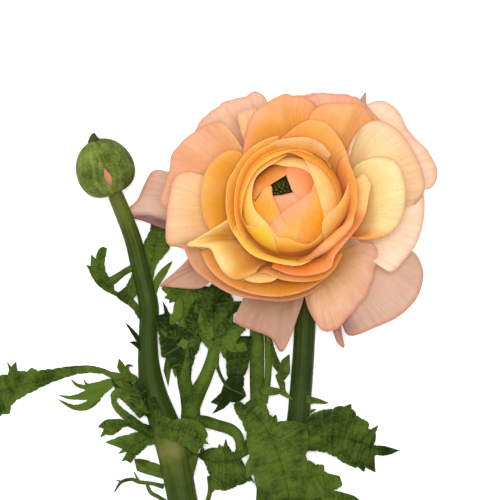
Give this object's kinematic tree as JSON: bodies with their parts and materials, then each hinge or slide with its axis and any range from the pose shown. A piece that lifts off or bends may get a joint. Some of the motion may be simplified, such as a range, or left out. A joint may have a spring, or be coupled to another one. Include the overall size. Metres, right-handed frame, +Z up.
{
  "type": "ranunculus flower",
  "caption": "Cut ranunculus lying down: one branching stem with a full, many-petalled apricot bloom, a closed bud and divided, toothed leaves.",
  "frame": {"origin": "the point of the surface it lies on that is under the middle of its plan outline", "axes": "+Y along the stem from its cut end towards the bloom, +Z up off the surface, with the bloom facing up, +X to the bloom's side, away from the bud"},
  "size_m": [0.1454, 0.1946, 0.0583],
  "materials": {
    "petal_inner": "silky petal, yellow-orange with peach-pink rims",
    "petal_outer": "silky petal, pale peach-pink with fine veins",
    "sepal": "soft green, slightly hairy",
    "carpel": "dark green, beaded",
    "bud_sepal": "yellow-green, smooth",
    "bud_petals": "silky, pinkish",
    "stem": "green, finely ribbed and hairy, satin",
    "leaf": "mid green, satin, veined"
  },
  "bodies": {
    "root": {"back_petal_far_left": "petal_outer", "back_petal_front": "petal_outer", "back_petal_lower_left": "petal_outer", "back_petal_right": "petal_outer", "back_petal_top": "petal_outer", "back_petal_upper_right": "petal_outer", "ball_petal_1": "petal_inner", "ball_petal_2": "petal_inner", "ball_petal_3": "petal_inner", "ball_petal_4": "petal_inner", "bud_folded_petals": "bud_petals", "bud_sepal_1": "bud_sepal", "bud_sepal_2": "bud_sepal", "bud_sepal_3": "bud_sepal", "bud_sepal_4": "bud_sepal", "bud_sepal_5": "bud_sepal", "carpel_head": "carpel", "core_petal_1": "petal_inner", "core_petal_2": "petal_inner", "core_petal_3": "petal_inner", "cup_petal_1": "petal_inner", "cup_petal_2": "petal_inner", "cup_petal_3": "petal_inner", "cup_petal_4": "petal_inner", "flower_stem": "stem", "guard_petal_front": "petal_outer", "guard_petal_left": "petal_outer", "guard_petal_right": "petal_outer", "guard_petal_top": "petal_outer", "guard_petal_upper_left": "petal_outer", "heart_petal_1": "petal_inner", "heart_petal_2": "petal_inner", "heart_petal_3": "petal_inner", "inner_petal_1": "petal_inner", "inner_petal_2": "petal_inner", "inner_petal_3": "petal_inner", "leaf_behind_bloom": "leaf", "leaf_bud_left": "leaf", "leaf_bud_right": "leaf", "leaf_fork": "leaf", "leaf_low_left": "leaf", "leaf_low_middle": "leaf", "leaf_lower_front": "leaf", "leaf_lower_left": "leaf", "leaf_right_front": "leaf", "leaf_right_wing": "leaf", "leaf_upper_node": "leaf", "open_petal_bottom": "petal_inner", "open_petal_left": "petal_inner", "open_petal_right": "petal_inner", "open_petal_top": "petal_inner", "sepal_1": "sepal", "sepal_2": "sepal", "sepal_3": "sepal", "sepal_4": "sepal", "sepal_5": "sepal", "wide_petal_bottom": "petal_inner", "wide_petal_left": "petal_inner", "wide_petal_right": "petal_inner", "wide_petal_top": "petal_inner"}
  },
  "joints": []
}
